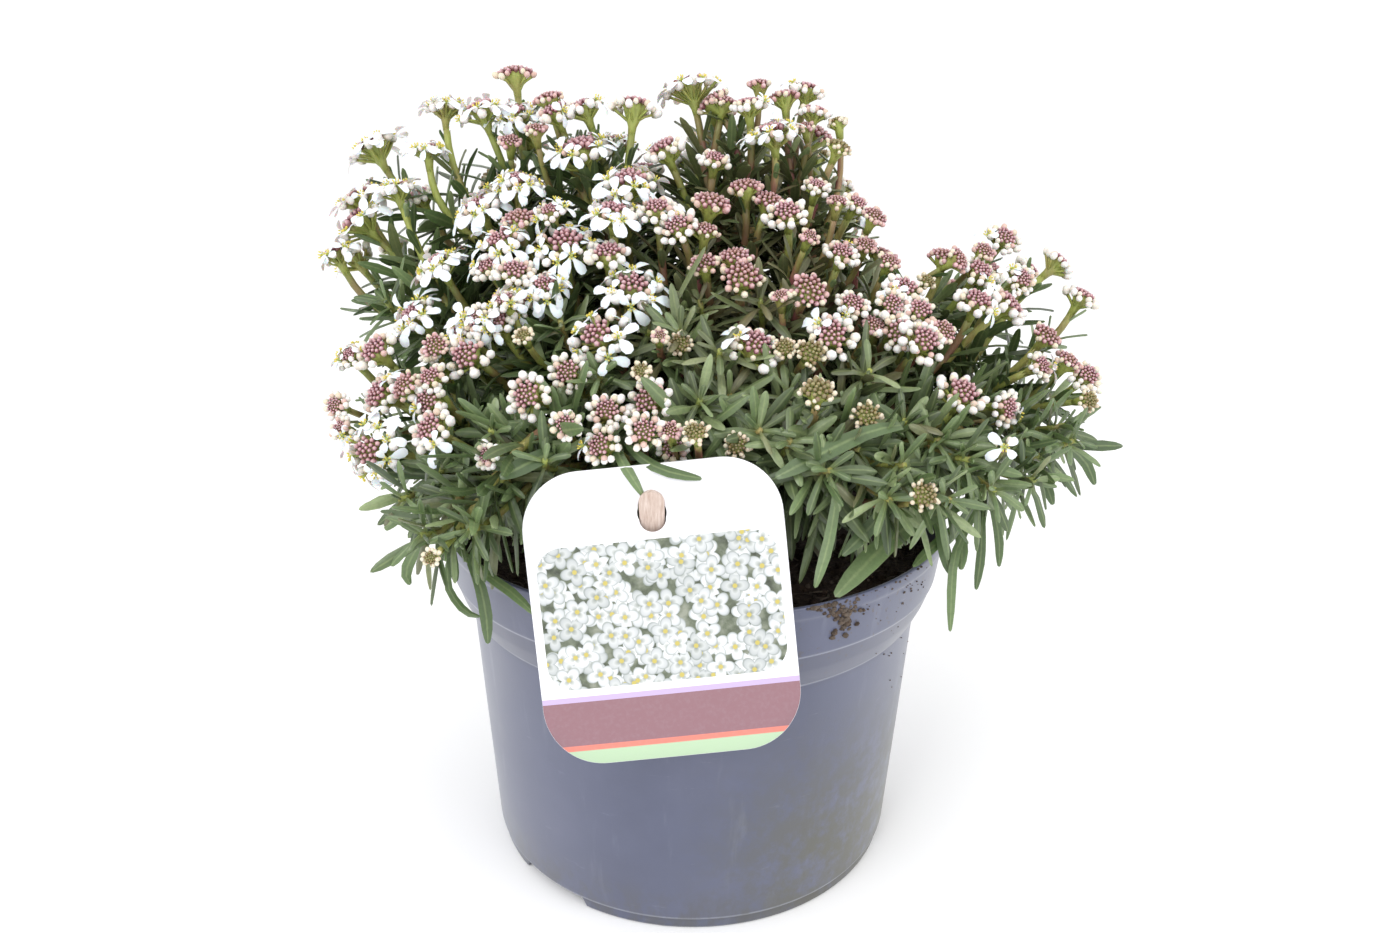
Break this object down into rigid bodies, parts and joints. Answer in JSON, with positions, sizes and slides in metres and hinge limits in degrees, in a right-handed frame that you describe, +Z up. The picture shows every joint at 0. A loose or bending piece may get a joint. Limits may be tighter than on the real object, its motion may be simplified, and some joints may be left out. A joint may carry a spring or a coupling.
{
  "type": "potted evergreen candytuft",
  "caption": "Mound-shaped evergreen candytuft in bud and white flower, in a tapered round nursery pot of soil with a blank picture card on a wooden stick.",
  "frame": {"origin": "centre of the pot's foot, on the surface it stands on", "axes": "+Z up along the pot's axis; the picture card is at the front, towards -Y; +X to the right seen from the front"},
  "size_m": [0.2532, 0.1987, 0.2586],
  "materials": {
    "pot_plastic": "satin",
    "peat_soil": "matte",
    "bark": "matte",
    "card": "satin",
    "stick_wood": "matte",
    "green_stem": "satin",
    "leaf": "satin",
    "flower": "matte"
  },
  "bodies": {
    "root": {"pot": "pot_plastic", "soil": "peat_soil", "woody_crown": "bark", "picture_card": "card", "card_stick": "stick_wood", "branch_01": "green_stem", "branch_02": "green_stem", "branch_03": "green_stem", "branch_04": "green_stem", "branch_05": "green_stem", "branch_06": "green_stem", "branch_07": "green_stem", "branch_08": "green_stem", "branch_09": "green_stem", "branch_10": "green_stem", "branch_11": "green_stem", "branch_12": "green_stem", "branch_13": "green_stem", "branch_14": "green_stem", "branch_15": "green_stem", "branch_16": "green_stem", "branch_17": "green_stem", "branch_18": "green_stem", "leaves_01": "leaf", "leaves_02": "leaf", "leaves_03": "leaf", "leaves_04": "leaf", "leaves_05": "leaf", "leaves_06": "leaf", "leaves_07": "leaf", "leaves_08": "leaf", "leaves_09": "leaf", "leaves_10": "leaf", "leaves_11": "leaf", "leaves_12": "leaf", "leaves_13": "leaf", "leaves_14": "leaf", "leaves_15": "leaf", "leaves_16": "leaf", "leaves_17": "leaf", "leaves_18": "leaf", "flower_heads_01": "flower", "flower_heads_02": "flower", "flower_heads_03": "flower", "flower_heads_04": "flower", "flower_heads_05": "flower", "flower_heads_06": "flower", "flower_heads_07": "flower", "flower_heads_08": "flower", "flower_heads_09": "flower", "flower_heads_10": "flower", "flower_heads_11": "flower", "flower_heads_12": "flower", "flower_heads_13": "flower", "flower_heads_14": "flower", "flower_heads_15": "flower", "flower_heads_16": "flower", "flower_heads_17": "flower", "flower_heads_18": "flower"}
  },
  "joints": []
}
